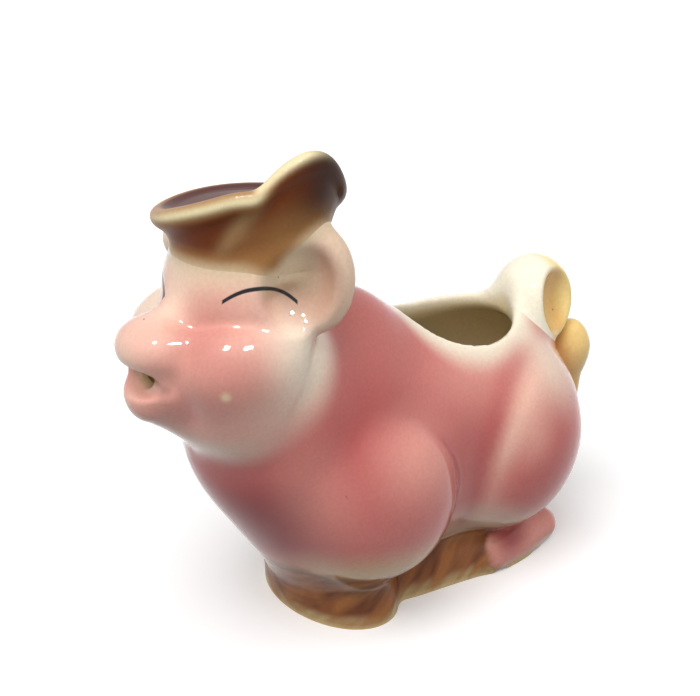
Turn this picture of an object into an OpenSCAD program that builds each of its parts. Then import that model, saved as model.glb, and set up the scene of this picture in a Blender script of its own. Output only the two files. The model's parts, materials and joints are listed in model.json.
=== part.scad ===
// Pig creamer: a hollow pottery pig in a floppy beret, filled through its back and poured through its mouth.
// x points forward to the snout, y to the pig's left, z up. The foot of the base lies on z = 0. Millimetres.
// The clay pieces meet face to face, each seated a little way into the casting that carries it.

/* [Clay] */
// Thickness of the cast walls
wall = 4; // [3:0.25:6]
// Depth of the seat of each luted piece in its casting
seat = 1; // [0.5:0.25:2]

/* [Barrel] */
// Length of the barrel
barrel_length = 86; // [76:1:100]
// Width of the barrel
barrel_width = 57; // [50:1:66]
// Height of the barrel
barrel_height = 72; // [64:1:80]
// Clay under the belly, down to the foot
belly_rise = 6; // [5:0.5:10]

/* [Chest and neck] */
// Length of the chest
chest_length = 58; // [50:1:66]
// Width of the chest
chest_width = 58; // [50:1:66]
// Height of the chest
chest_height = 66; // [58:1:74]
// Chest centre ahead of the barrel centre
chest_ahead = 38; // [30:1:44]
// Length of the breast under the head
breast_length = 52; // [46:1:58]
// Width of the breast
breast_width = 49; // [42:1:56]
// Height of the breast
breast_height = 52; // [46:1:58]
// Breast centre ahead of the barrel centre
breast_ahead = 54; // [48:1:60]
// Breast centre above the barrel centre
breast_rise = 16; // [12:1:20]
// Length of the neck
neck_length = 40; // [34:1:46]
// Width of the neck
neck_width = 38; // [32:1:44]
// Height of the neck
neck_height = 46; // [40:1:52]
// Neck centre ahead of the barrel centre
neck_ahead = 37; // [32:1:42]
// Neck centre above the barrel centre
neck_rise = 24.5; // [21:0.5:29]
// Length of the withers, between the neck and the opening
withers_length = 38; // [34:1:46]
// Width of the withers
withers_width = 40; // [32:1:44]
// Height of the withers
withers_height = 36; // [30:1:42]
// Withers centre ahead of the barrel centre
withers_ahead = 16; // [12:1:20]
// Withers centre above the barrel centre
withers_rise = 12; // [8:1:16]

// Breadth of the fillets where the body's swellings meet
body_fillet = 14; // [6:1:20]

/* [Filler opening] */
// Length of the opening in the back
opening_length = 40; // [30:1:46]
// Width of the opening in the back
opening_width = 34; // [24:1:40]
// Lean of the opening towards the tail, in degrees
opening_lean = 8; // [0:1:16]
// Opening centre behind the barrel centre
opening_behind = 2; // [-2:0.5:6]

/* [Head] */
// Length of the skull
skull_length = 39.6; // [34:0.2:44]
// Width of the skull
skull_width = 42; // [36:0.5:48]
// Height of the skull
skull_height = 36; // [32:0.5:40]
// Skull centre ahead of the breast centre
skull_ahead = 11; // [8:0.5:14]
// Skull centre above the breast centre
skull_rise = 40; // [36:0.5:44]
// Length of each cheek
cheek_length = 28; // [24:0.5:32]
// Width of each cheek
cheek_width = 25.6; // [22:0.2:30]
// Height of each cheek
cheek_height = 24.8; // [21:0.2:29]
// Distance between the cheek centres
cheek_apart = 25; // [20:0.5:28]
// Cheek centres ahead of the skull centre
cheek_ahead = 9; // [6.5:0.5:11.5]
// Cheek centres below the skull centre
cheek_drop = 13; // [11:0.5:16]
// Length of each jowl
jowl_length = 34; // [30:0.5:38]
// Width of each jowl
jowl_width = 28; // [24:0.5:32]
// Height of each jowl
jowl_height = 28; // [24:0.5:32]
// Distance between the jowl centres
jowl_apart = 16; // [12:0.5:20]
// Jowl centres ahead of the skull centre
jowl_ahead = 3.5; // [1:0.5:6]
// Jowl centres below the skull centre
jowl_drop = 26.2; // [23:0.2:29]

// Breadth of the fillet between cheek and jowl
jowl_fillet = 10; // [5:0.5:14]
// Breadth of the crease between cheek and brow
cheek_fillet = 3.5; // [1.5:0.5:8]
// Breadth of the fillet where the jaw leaves the face
jaw_fillet = 6; // [2:0.5:9]
// Breadth of the crease round the snout
snout_fillet = 3; // [1.5:0.5:8]

/* [Snout and spout] */
// Length of the snout ball
snout_length = 19.2; // [16:0.2:22]
// Width of the snout ball
snout_width = 21.2; // [18:0.2:26]
// Height of the snout ball
snout_height = 14.2; // [12:0.2:17]
// Snout centre ahead of the skull centre
snout_ahead = 24.2; // [21:0.2:27]
// Snout centre below the skull centre
snout_drop = 8.6; // [6.6:0.2:10.6]
// Length of the muzzle between the snout and the lower lip
muzzle_length = 17.6; // [15:0.2:20]
// Width of the muzzle
muzzle_width = 19; // [16:0.5:22]
// Height of the muzzle
muzzle_height = 15.2; // [13:0.2:18]
// Muzzle centre ahead of the skull centre
muzzle_ahead = 22.5; // [20:0.5:25]
// Muzzle centre below the skull centre
muzzle_drop = 17; // [15:0.5:19]
// Thickness of the lower jaw where it leaves the jowls
jaw_thickness = 18; // [15:0.5:21]
// Thickness of the lower lip
lip_thickness = 11.6; // [10:0.2:14]
// Lower lip centre ahead of the skull centre
lip_ahead = 26.2; // [24:0.2:29]
// Lower lip centre below the skull centre
lip_drop = 21.8; // [19.8:0.2:23.8]
// Width of the pouring hole in the mouth
spout_width = 9; // [7:0.5:12]
// Height of the pouring hole in the mouth
spout_height = 7.8; // [5.6:0.2:8.4]

/* [Beret] */
// Radius of the brim
brim_radius = 23.2; // [20:0.2:26]
// Radius of the head band
band_radius = 17.6; // [15:0.2:20]
// Thickness of the brim's rounded edge
brim_edge = 3.6; // [2.8:0.2:5]
// Band bottom above the skull centre
band_rise = 7; // [4:0.5:10]
// Height of the brim's low side above the band bottom
brim_rise = 11.3; // [9:0.1:15]
// Height that the tilt of the cap adds on its high side
brim_tilt = 12.5; // [8:0.5:15]
// Direction of the brim's high side, from the front to the left, in degrees
tilt_way = 72; // [55:1:90]
// Height of the turned-up lobe over the tilted brim
lobe_rise = 8.5; // [4:0.5:12]
// Direction of the lobe, from the front to the left, in degrees
lobe_way = 100; // [85:1:115]
// Sharpness of the lobe: the more, the narrower
lobe_sharpness = 6.5; // [3:0.5:10]
// Depth of the fold ahead of the lobe
fold_depth = 2.2; // [0:0.2:4]
// Clay of the crown over the top of the skull
crown_cover = 3.6; // [2:0.2:6]
// Cap centre behind the skull centre
beret_behind = 3; // [0:0.5:6]

/* [Ears] */
// Height of the left ear
ear_height = 27; // [22:0.5:32]
// Width of the left ear
ear_width = 20; // [16:0.5:24]
// Depth of the left ear
ear_depth = 12; // [9:0.5:15]
// Clay between the ear's outside and its hollow
ear_wall = 3; // [2:0.25:4]
// Left ear centre behind the skull centre
ear_behind = 7.2; // [4.4:0.2:10]
// How far the left ear's centre lies inside the skull's side
ear_inset = 1; // [0:0.25:2.5]
// Left ear centre above the skull centre
ear_rise = 7; // [4:0.5:10]
// Length of the right ear, which lies forward under the brim
lop_length = 27; // [22:0.5:31]
// Height of the right ear
lop_height = 17; // [14:0.5:20]
// Depth of the right ear
lop_depth = 11; // [9:0.5:14]
// Right ear centre behind the skull centre
lop_behind = 6; // [3:0.5:9]
// Right ear centre above the skull centre
lop_rise = 4; // [1:0.5:7]

/* [Legs] */
// Length of each foreleg, with its shoulder
foreleg_length = 40; // [35:0.5:45]
// Width of each foreleg
foreleg_width = 26; // [22:0.5:30]
// Height of each foreleg
foreleg_height = 46; // [40:0.5:52]
// Lean of the forelegs, top forward, in degrees
foreleg_lean = 12; // [4:1:18]
// Splay of the forelegs, foot inward, in degrees
foreleg_splay = 8; // [2:1:14]
// How far each foreleg's centre lies inside the chest's side
foreleg_inset = 5.5; // [3:0.5:8]
// Foreleg centres behind the chest centre
foreleg_behind = 2; // [-1:0.5:5]
// Foreleg centres above the foot
foreleg_rise = 37.5; // [34:0.5:41]
// Length of each haunch
haunch_length = 42; // [37:0.5:47]
// Width of each haunch
haunch_width = 36; // [32:0.5:40]
// Height of each haunch
haunch_height = 51; // [46:0.5:56]
// Lean of the haunches, top to the rear, in degrees
haunch_lean = 15; // [6:1:20]
// How far each haunch's centre lies inside the barrel's side
haunch_inset = 12; // [9:0.5:15]
// Haunch centres behind the barrel centre
haunch_behind = 13.5; // [10:0.5:17]
// Haunch centres above the foot
haunch_rise = 36.4; // [33:0.2:40]
// Thickness of each hind foot
foot_thickness = 10; // [8:0.25:12]
// Length of each hind foot
foot_length = 31; // [26:0.5:36]
// Toes ahead of the haunch centres
toe_ahead = 8.5; // [5:0.5:12]
// Distance between the hind feet
feet_apart = 37.5; // [33:0.5:42]

/* [Grass base] */
// Width of the base under the chest
base_front_width = 47; // [42:1:52]
// Length of the base's front lobe
base_front_length = 31; // [27:1:35]
// Width of the base under the haunches
base_rear_width = 46; // [40:1:52]
// Length of the base's rear lobe
base_rear_length = 46; // [40:1:52]
// Width of the base's waist
base_waist = 40; // [36:1:44]
// Distance between the centres of the base's two lobes
base_span = 50; // [46:1:54]
// Height of the grass under the chest
base_front_height = 25; // [21:0.5:29]
// Height of the grass under the haunches
base_rear_height = 13; // [11:0.5:17]

/* [Tail] */
// Height of the curl
curl_height = 27; // [23:0.5:31]
// Length of the curl
curl_length = 30; // [26:0.5:34]
// Thickness of the curl
curl_thickness = 23; // [18:0.5:26]
// Clay round the curl's hollow
curl_band = 3.5; // [2.5:0.25:6]
// Depth of the curl's hollow
curl_hollow = 7; // [4:0.25:8.5]
// Turn of the curl to the pig's left, in degrees
curl_turn = 28; // [18:1:38]
// Thickness of the curl's root on the rump
curl_root = 14; // [11:0.5:17]
// Curl centre to the left of the pig's middle
curl_side = 1.6; // [0:0.2:3]
// Curl centre behind the barrel centre
curl_behind = 34; // [31:0.5:38]
// Curl centre above the barrel centre
curl_rise = 27; // [24:0.5:30]
// Thickness of the tail's end at its knob
knob_thickness = 11.6; // [9:0.2:14]
// Height of the knob
knob_height = 17; // [13:0.5:20]
// Knob centre to the left of the pig's middle
knob_side = 5.5; // [3:0.5:8]
// Thickness of the tail's end at its tip
tip_thickness = 6; // [5:0.25:8]
// Length of the tail's end, from the knob down
tip_length = 18.6; // [14:0.2:22]

/* [Hidden] */
// Facets round the large forms, the small ones and the smallest
big = 24;
small = 18;
tiny = 14;

// Centres of the body's forms
barrel_at = [-10, 0, belly_rise + barrel_height / 2];
chest_at = [barrel_at.x + chest_ahead, 0, belly_rise + 1 + chest_height / 2];
breast_at = barrel_at + [breast_ahead, 0, breast_rise];
neck_at = barrel_at + [neck_ahead, 0, neck_rise];
withers_at = barrel_at + [withers_ahead, 0, withers_rise];
opening_at = [barrel_at.x - opening_behind, 0, barrel_at.z + barrel_height / 2 - 6];

// Centres of the head's forms
skull_at = breast_at + [skull_ahead, 0, skull_rise];
cheek_at = skull_at + [cheek_ahead, cheek_apart / 2, -cheek_drop];
jowl_at = skull_at + [jowl_ahead, jowl_apart / 2, -jowl_drop];
snout_at = skull_at + [snout_ahead, 0, -snout_drop];
muzzle_at = skull_at + [muzzle_ahead, 0, -muzzle_drop];
lip_at = skull_at + [lip_ahead, 0, -lip_drop];
jaw_at = [jowl_at.x + 11, 0, jowl_at.z - 1];

// The throat, where the hollows of skull, cheeks and jowls meet
throat_at = [(jowl_at.x + skull_at.x) / 2, 0, (jowl_at.z + skull_at.z) / 2];
throat_size = [skull_length / 2, jowl_apart, skull_height * 0.8];

// The pouring hole lies between the snout's underside and the lip's top
spout_z = (snout_at.z - snout_height / 2 + lip_at.z + lip_thickness / 2) / 2;
spout_front = max(snout_at.x + snout_length / 2, lip_at.x + lip_thickness / 2) + 2;

// Cap: the band's bottom, the mean brim and the middle of the crown
beret_at = [skull_at.x - beret_behind, 0, skull_at.z + band_rise];
crown_z = skull_at.z + skull_height / 2 + crown_cover;
beret_slices = 32;

// Ears
ear_at = skull_at + [-ear_behind, skull_width / 2 - ear_inset, ear_rise];
ear_turn = [0, -8, 50];
lop_at = skull_at + [-lop_behind, -skull_width / 2, lop_rise];
lop_turn = [0, -20, -15];

// Legs, feet and base
foreleg_at = [chest_at.x - foreleg_behind, chest_width / 2 - foreleg_inset, foreleg_rise];
haunch_at = [barrel_at.x - haunch_behind, barrel_width / 2 - haunch_inset, haunch_rise];
toe_at = [haunch_at.x + toe_ahead, feet_apart / 2 + 1, foot_thickness / 2];
heel_at = [toe_at.x - foot_length + foot_thickness, feet_apart / 2 - 1, foot_thickness / 2];
base_front_at = [base_span / 2 + 3, 0, 0];
base_rear_at = [-base_span / 2 + 3, 0, 0];

// Tail
curl_at = barrel_at + [-curl_behind, curl_side, curl_rise];
curl_angle = [0, -9, 90 + curl_turn];
knob_at = [barrel_at.x - barrel_length / 2 - knob_thickness / 4, knob_side, barrel_at.z + 10];
tip_at = knob_at - [0, 0, tip_length];

// The part's middle, between the foremost and the rearmost point
middle_x = (spout_front - 2 + knob_at.x - knob_thickness / 2) / 2;

// A rounded form of the given size about its centre
module blob(at, size, turn = [0, 0, 0], facets = small) {
    hull()
        translate(at)
            rotate(turn)
                scale(size / 2)
                    sphere(r = 1, $fn = facets);
}

// Sets a piece about the part's middle
module set_down() {
    translate([-middle_x, 0, 0])
        children();
}

// The same form on both sides of the pig
module pair() {
    children();
    mirror([0, 1, 0])
        children();
}

// How far a point lies outside an egg-shaped form of the given size; negative inside it
function egg(p, at, size) = let (q = p - at, r = size / 2,
    u = norm([q.x / r.x, q.y / r.y, q.z / r.z]), v = norm([q.x / r.x ^ 2, q.y / r.y ^ 2, q.z / r.z ^ 2]))
    v < 0.000001 ? -min(r) : u * (u - 1) / v;

// The nearer of two distances, with a fillet of the given breadth where the two forms meet
function meld(a, b, breadth) = let (h = max(breadth - abs(a - b), 0) / breadth)
    min(a, b) - h * h * breadth / 4;

// How far a point lies outside the body, its swellings melded into one
function outside_body(p) = let (
    barrel = egg(p, barrel_at, [barrel_length, barrel_width, barrel_height]),
    chest = egg(p, chest_at, [chest_length, chest_width, chest_height]),
    breast = egg(p, breast_at, [breast_length, breast_width, breast_height]),
    neck = egg(p, neck_at, [neck_length, neck_width, neck_height]),
    withers = egg(p, withers_at, [withers_length, withers_width, withers_height]))
    meld(meld(meld(meld(barrel, chest, body_fillet), breast, body_fillet), neck, body_fillet),
        withers, body_fillet);

// How far a point lies outside a bar that tapers from one round end to the other
function taper(p, a, b, thick_a, thick_b) = let (t = min(max((p - a) * (b - a) / ((b - a) * (b - a)), 0), 1))
    norm(p - a - t * (b - a)) - (thick_a + t * (thick_b - thick_a)) / 2;

// How far a point lies outside the head, its swellings melded into one
function outside_head(p) = let (
    q = [p.x, abs(p.y), p.z],
    skull = egg(p, skull_at, [skull_length, skull_width, skull_height]),
    cheek = egg(q, cheek_at, [cheek_length, cheek_width, cheek_height]),
    jowl = egg(q, jowl_at, [jowl_length, jowl_width, jowl_height]),
    snout = egg(p, snout_at, [snout_length, snout_width, snout_height]),
    muzzle = egg(p, muzzle_at, [muzzle_length, muzzle_width, muzzle_height]),
    jaw = taper(p, jaw_at, lip_at, jaw_thickness, lip_thickness),
    face = meld(skull, meld(cheek, jowl, jowl_fillet), cheek_fillet))
    meld(meld(meld(face, jaw, jaw_fillet), muzzle, jaw_fillet), snout, snout_fillet);

// Distance from a section's middle to the form's surface, stepped inwards along a ray
function reach(form, from, ray, level, r, steps) = steps == 0 ? max(r, 0.2)
    : let (p = from + ray * r, d = form == 0 ? outside_body(p) : outside_head(p))
        reach(form, from, ray, level, max(r - d + level, 0.1), steps - 1);

// Middle of the body's cross-section at x, and of the head's level section at z
function body_middle(x) = [x, 0, lookup(x, [[barrel_at.x, barrel_at.z], [chest_at.x, chest_at.z + 6],
    [breast_at.x, breast_at.z]])];
function head_middle(z) = [lookup(z, [[jowl_at.z, jowl_at.x], [skull_at.z, skull_at.x]]), 0, z];

// A closed skin over rings of m points each, with a point at either end
module skin(rings, first, last, m) {
    n = len(rings) / m;
    sides = [for (i = [0 : n - 2]) for (j = [0 : m - 1]) let (k = (j + 1) % m)
        each [[i * m + j, (i + 1) * m + j, i * m + k], [(i + 1) * m + j, (i + 1) * m + k, i * m + k]]];
    caps = [for (j = [0 : m - 1]) let (k = (j + 1) % m)
        each [[n * m, j, k], [n * m + 1, (n - 1) * m + k, (n - 1) * m + j]]];
    polyhedron(concat(rings, [first, last]), concat(sides, caps));
}

// The body, lofted from tail to breast through its melded cross-sections, or the same form sunk by the inset
module body_form(inset = 0, n = 24, m = 28) {
    rear = body_middle(barrel_at.x);
    front = body_middle(breast_at.x);
    x0 = rear.x - reach(0, rear, [-1, 0, 0], -inset, barrel_length, 12);
    x1 = front.x + reach(0, front, [1, 0, 0], -inset, breast_length, 12);
    rings = [for (i = [1 : n - 1])
        let (x = (x0 + x1) / 2 - (x1 - x0) / 2 * cos(180 * i / n), c = body_middle(x))
        for (j = [0 : m - 1]) let (ray = [0, cos(360 * j / m), sin(360 * j / m)])
            c + ray * reach(0, c, ray, -inset, barrel_height, 9)];
    skin(rings, [x0, 0, rear.z], [x1, 0, front.z], m);
}

// The head, lofted from the jowls up, or the same form sunk by the inset
module face_form(inset = 0, n = 20, m = 28) {
    low = head_middle(jowl_at.z);
    high = head_middle(skull_at.z);
    z0 = low.z - reach(1, low, [0, 0, -1], -inset, jowl_height, 12);
    z1 = high.z + reach(1, high, [0, 0, 1], -inset, skull_height, 12);
    rings = [for (i = [1 : n - 1])
        let (z = (z0 + z1) / 2 - (z1 - z0) / 2 * cos(180 * i / n), c = head_middle(z))
        for (j = [0 : m - 1]) let (ray = [cos(360 * j / m), sin(360 * j / m), 0])
            c + ray * reach(1, c, ray, -inset, skull_width, 9)];
    skin(rings, [low.x, 0, z0], [high.x, 0, z1], m);
}

// The bed that the pieces on the body stand in
module body_bed() {
    body_form(seat, 20, 24);
}

// Outside of the head, or the same form sunk by the inset
module head_form(inset = 0) {
    d = [2, 2, 2] * inset;
    face_form(inset);
    blob(snout_at, [snout_length, snout_width, snout_height] - d);
    blob(muzzle_at, [muzzle_length, muzzle_width, muzzle_height] - d);
    hull() {
        blob(jaw_at, [1, 1, 1] * jaw_thickness - d);
        blob(lip_at, [1, 1, 1] * lip_thickness - d);
    }
}

// The pouring channel, from the head's hollow out between the lips
module spout_cut() {
    hull() {
        blob([jowl_at.x + 5, 0, spout_z], [spout_height, spout_width, spout_height]);
        blob([spout_front, 0, spout_z], [spout_height, spout_width, spout_height]);
    }
}

// The oval mouth in the back, wide open above
module opening_cut() {
    translate(opening_at)
        rotate([0, -opening_lean, 0])
            scale([opening_length / 2, opening_width / 2, 1])
                translate([0, 0, -wall * 3])
                    cylinder(r = 1, h = barrel_height, $fn = big);
}

// Everything hollow: belly, neck, head and spout
module hollow() {
    body_form(wall, 16, 22);
    face_form(wall, 14, 20);
    blob(throat_at, throat_size);
    spout_cut();
    opening_cut();
}

// Weight of the lobe at an angle round the cap: 1 at its middle
function lobe(a) = exp(lobe_sharpness * (cos(a - lobe_way) - 1));

// Height of the brim's top at an angle round the cap, from the front towards the left
function brim_z(a) = beret_at.z + brim_rise + brim_tilt * ((1 + cos(a - tilt_way)) / 2) ^ 2
    + lobe_rise * lobe(a);

// Radius of the cap part way up its side: the fold runs down ahead of the lobe
function side_radius(a, up) = band_radius + lobe(a)
    + (brim_radius - band_radius) * pow(up, 1.3 - 0.6 * lobe(a))
    - fold_depth * up * (1.6 - up) * exp(25 * (cos(a - 58) - 1));

// The cap's outline at an angle, as [radius, z] from under the band, up the side, over the edge, to the crown
function beret_outline(a) = let (e = brim_edge / 2, top = brim_z(a), r = side_radius(a, 1)) concat(
    [[band_radius - 3, beret_at.z - 2]],
    [for (up = [0 : 0.25 : 0.75]) [side_radius(a, up), beret_at.z + up * (top - e - beret_at.z)]],
    [for (t = [0 : 36 : 144]) [r - e + e * cos(t), top - e + e * sin(t)]],
    [for (in = [0.65, 0.35]) [r * in, crown_z + (top - crown_z) * pow(in, 1.2)]]);

// The whole cap, lofted round its axis
module beret_form() {
    n = beret_slices;
    m = len(beret_outline(0));
    rings = [for (i = [0 : n - 1]) for (p = beret_outline(i * 360 / n))
        [beret_at.x + p.x * cos(i * 360 / n), p.x * sin(i * 360 / n), p.y]];
    ends = [[beret_at.x, 0, beret_at.z - 2], [beret_at.x, 0, crown_z]];
    sides = [for (i = [0 : n - 1]) for (j = [0 : m - 2]) let (k = (i + 1) % n)
        each [[i * m + j, i * m + j + 1, k * m + j], [k * m + j, i * m + j + 1, k * m + j + 1]]];
    caps = [for (i = [0 : n - 1]) let (k = (i + 1) % n)
        each [[n * m, i * m, k * m], [n * m + 1, k * m + m - 1, i * m + m - 1]]];
    polyhedron(concat(rings, ends), concat(sides, caps));
}

// The left ear, a standing cup that opens to the front and side
module left_ear_leaf(depth, width, height) {
    hull() {
        blob([0, 0, 0], [depth, width, height]);
        blob([0, -1, -height / 2 + 3], [depth, width - 9, 7]);
    }
}

module left_ear_outside() {
    translate(ear_at)
        rotate(ear_turn)
            left_ear_leaf(ear_depth, ear_width, ear_height);
}

module left_ear_form() {
    difference() {
        left_ear_outside();
        translate(ear_at)
            rotate(ear_turn)
                translate([ear_wall + 2.5, 0, 0])
                    left_ear_leaf(ear_depth, ear_width - 2 * ear_wall + 1, ear_height - 2 * ear_wall);
    }
}

// The right ear, folded forward under the brim
module right_ear_leaf(length, depth, height) {
    hull() {
        blob([0, 0, 0], [length, depth, height]);
        blob([length / 2 - 4, 0, 0], [7, depth - 3, height - 8]);
    }
}

module right_ear_outside() {
    translate(lop_at)
        rotate(lop_turn)
            right_ear_leaf(lop_length, lop_depth, lop_height);
}

module right_ear_form() {
    difference() {
        right_ear_outside();
        translate(lop_at)
            rotate(lop_turn)
                translate([0, -ear_wall - 2, 0])
                    right_ear_leaf(lop_length - 2 * ear_wall, lop_depth, lop_height - 2 * ear_wall + 1);
    }
}

// A foreleg, swelling from the shoulder down to the hoof
module foreleg_form() {
    blob(foreleg_at, [foreleg_length, foreleg_width, foreleg_height], [-foreleg_splay, foreleg_lean, 0],
        big);
}

// A haunch, swelling from the hip down to the thigh
module haunch_form() {
    blob(haunch_at, [haunch_length, haunch_width, haunch_height], [0, -haunch_lean, 0], big);
}

// A hind foot, flat along the ground
module foot_form() {
    hull() {
        blob(toe_at, [1, 1, 1] * foot_thickness, facets = tiny);
        blob((toe_at + heel_at) / 2, [foot_thickness, foot_thickness + 1.5, foot_thickness], facets = tiny);
        blob(heel_at, [1, 1, 1] * foot_thickness, facets = tiny);
    }
}

// The grass skirt: a mound under the chest, and a lower part drawn in from the haunches to a waist
module base_form() {
    waist_at = (base_front_at + base_rear_at) / 2;
    intersection() {
        union() {
            blob(base_front_at, [base_front_length, base_front_width, base_front_height * 2], facets = big);
            hull() {
                blob(base_rear_at, [base_rear_length, base_rear_width, base_rear_height * 2]);
                blob(waist_at, [base_span * 1.2, base_waist, base_rear_height * 2 + 2]);
            }
        }
        translate([-barrel_length, -barrel_length, 0])
            cube(barrel_length * 2);
    }
}

// The curled tail: a thick disc with a hollow in its left face
module curl_outside() {
    blob(curl_at, [curl_thickness, curl_length, curl_height], curl_angle);
    hull() {
        blob(curl_at + [3, 0, -curl_height / 4], [1, 1, 1] * curl_root);
        blob(curl_at + [6, 0, -curl_height / 2 - 2], [1, 1, 1.2] * curl_root);
    }
}

module curl_form() {
    difference() {
        curl_outside();
        translate(curl_at)
            rotate(curl_angle)
                blob([curl_thickness / 2, 0, 0],
                    [curl_hollow * 2, curl_length - 2 * curl_band, curl_height - 2 * curl_band]);
    }
}

module tip_form() {
    blob(knob_at, [knob_thickness, knob_thickness, knob_height], facets = tiny);
    hull() {
        blob(knob_at, [1, 1, 1] * knob_thickness * 0.8, facets = tiny);
        blob(tip_at, [1, 1, 1] * tip_thickness, facets = tiny);
    }
}

// All that is luted to the body
module body_mates() {
    pair() {
        foreleg_form();
        haunch_form();
        foot_form();
    }
    base_form();
    curl_outside();
    tip_form();
}

module body_shell() {
    color("lightpink")
        set_down()
        difference() {
            body_form();
            difference() {
                body_mates();
                body_bed();
            }
            head_form();
            hollow();
        }
}

module head_shell() {
    color("pink")
        set_down()
        difference() {
            head_form();
            difference() {
                union() {
                    beret_form();
                    left_ear_outside();
                    right_ear_outside();
                }
                head_form(seat);
            }
            hollow();
        }
}

// The cap rests on the head and on the tops of the ears
module beret() {
    color("sienna")
        set_down()
        difference() {
            beret_form();
            head_form(seat);
            left_ear_outside();
            right_ear_outside();
        }
}

module left_ear() {
    color("bisque")
        set_down()
        difference() {
            left_ear_form();
            head_form(seat);
            body_form();
        }
}

module right_ear() {
    color("wheat")
        set_down()
        difference() {
            right_ear_form();
            head_form(seat);
            body_form();
        }
}

module left_foreleg() {
    color("lightcoral")
        set_down()
        difference() {
            foreleg_form();
            body_bed();
            head_form();
        }
}

module right_foreleg() {
    color("salmon")
        set_down()
        mirror([0, 1, 0])
            difference() {
                foreleg_form();
                body_bed();
                head_form();
            }
}

// A haunch stays clear of the foreleg ahead of it
module haunch_piece() {
    difference() {
        haunch_form();
        body_bed();
        foreleg_form();
    }
}

module left_haunch() {
    color("rosybrown")
        set_down()
        haunch_piece();
}

module right_haunch() {
    color("indianred")
        set_down()
        mirror([0, 1, 0])
            haunch_piece();
}

// A foot is cut to the haunch and leg above it
module foot_piece() {
    difference() {
        foot_form();
        body_bed();
        foreleg_form();
        haunch_form();
    }
}

module left_hind_foot() {
    color("palevioletred")
        set_down()
        foot_piece();
}

module right_hind_foot() {
    color("hotpink")
        set_down()
        mirror([0, 1, 0])
            foot_piece();
}

module grass_base() {
    color("saddlebrown")
        set_down()
        difference() {
            base_form();
            body_bed();
            pair() {
                foreleg_form();
                haunch_form();
                foot_form();
            }
        }
}

module tail_curl() {
    color("khaki")
        set_down()
        difference() {
            curl_form();
            body_bed();
            opening_cut();
            pair()
                haunch_form();
        }
}

module tail_tip() {
    color("gold")
        set_down()
        difference() {
            tip_form();
            body_bed();
            curl_outside();
            pair()
                haunch_form();
        }
}

body_shell();
head_shell();
beret();
left_ear();
right_ear();
left_foreleg();
right_foreleg();
left_haunch();
right_haunch();
left_hind_foot();
right_hind_foot();
grass_base();
tail_curl();
tail_tip();
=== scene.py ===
"""Pig creamer: one glazed skin over the clay pieces, its airbrushed colour with some painted shade and
light, and the studio around it.

The pig's own frame has x forward from its middle, y to its left and z up, in millimetres,
as in the source of the solids. SHIFT moves it to the part's frame, whose origin is the middle
of the part's length.
"""

import json

import bpy
import numpy as np
import openvdb
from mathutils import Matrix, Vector


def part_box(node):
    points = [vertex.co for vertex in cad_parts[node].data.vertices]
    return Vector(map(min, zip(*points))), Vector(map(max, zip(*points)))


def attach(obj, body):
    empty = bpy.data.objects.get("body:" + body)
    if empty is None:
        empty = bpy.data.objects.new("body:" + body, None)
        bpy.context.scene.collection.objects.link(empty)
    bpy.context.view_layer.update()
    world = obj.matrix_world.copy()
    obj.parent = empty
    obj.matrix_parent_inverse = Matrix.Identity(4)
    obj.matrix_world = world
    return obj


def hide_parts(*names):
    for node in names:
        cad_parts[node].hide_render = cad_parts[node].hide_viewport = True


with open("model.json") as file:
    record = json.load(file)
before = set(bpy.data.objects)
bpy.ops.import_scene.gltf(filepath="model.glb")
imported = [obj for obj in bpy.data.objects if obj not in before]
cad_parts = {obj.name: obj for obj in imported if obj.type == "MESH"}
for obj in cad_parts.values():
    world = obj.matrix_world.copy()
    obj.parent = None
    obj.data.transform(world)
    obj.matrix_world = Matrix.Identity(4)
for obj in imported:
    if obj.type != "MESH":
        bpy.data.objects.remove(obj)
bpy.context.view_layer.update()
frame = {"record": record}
SLOTS = {s["node"]: s["material_slot"] for s in frame["record"]["subparts"]}

MM = 0.001
SHIFT = 13.55
TINY = 1e-9
X, Y, Z = 0, 1, 2


def in_part(at):
    """Places in the pig's own frame, as metres in the part's frame."""
    return (np.array(at) - (SHIFT, 0, 0)) * MM


# Forms: each gives the distance of points p outside a shape, negative inside it

def turned(rx, ry, rz):
    """The matrix that turns about x, then y, then z, in degrees."""
    a, b, c = np.radians([rx, ry, rz])
    about_x = np.array([[1, 0, 0], [0, np.cos(a), -np.sin(a)], [0, np.sin(a), np.cos(a)]])
    about_y = np.array([[np.cos(b), 0, np.sin(b)], [0, 1, 0], [-np.sin(b), 0, np.cos(b)]])
    about_z = np.array([[np.cos(c), -np.sin(c), 0], [np.sin(c), np.cos(c), 0], [0, 0, 1]])
    return about_z @ about_y @ about_x


def egg(p, at, half, turn=None):
    """About the distance from an ellipsoid with this middle, these half sizes and this turn."""
    q = p - np.array(at, p.dtype)
    if turn:
        q = q @ turned(*turn).astype(p.dtype)
    half = np.array(half, p.dtype)
    reach = np.linalg.norm(q / half, axis=-1)
    slope = np.linalg.norm(q / half**2, axis=-1)
    return reach * (reach - 1) / np.maximum(slope, TINY)


def rod(p, a, b, radius_a, radius_b):
    """About the distance from a round-ended rod whose radius changes evenly from end a to end b."""
    a, b = np.array(a, p.dtype), np.array(b, p.dtype)
    along = np.clip((p - a) @ (b - a) / ((b - a) @ (b - a)), 0, 1)
    radius = radius_a + (radius_b - radius_a) * along
    return np.linalg.norm(p - a - along[..., None] * (b - a), axis=-1) - radius


def meld(a, b, fillet):
    """The two shapes together, with a fillet in the crease between them."""
    h = np.maximum(fillet - np.abs(a - b), 0) / fillet
    return np.minimum(a, b) - h * h * fillet / 4


def carve(a, b, fillet):
    """What is left of a outside b."""
    return -meld(-a, b, fillet)


def both(a, b, fillet):
    """What lies in a and in b."""
    return -meld(-a, -b, fillet)


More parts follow.
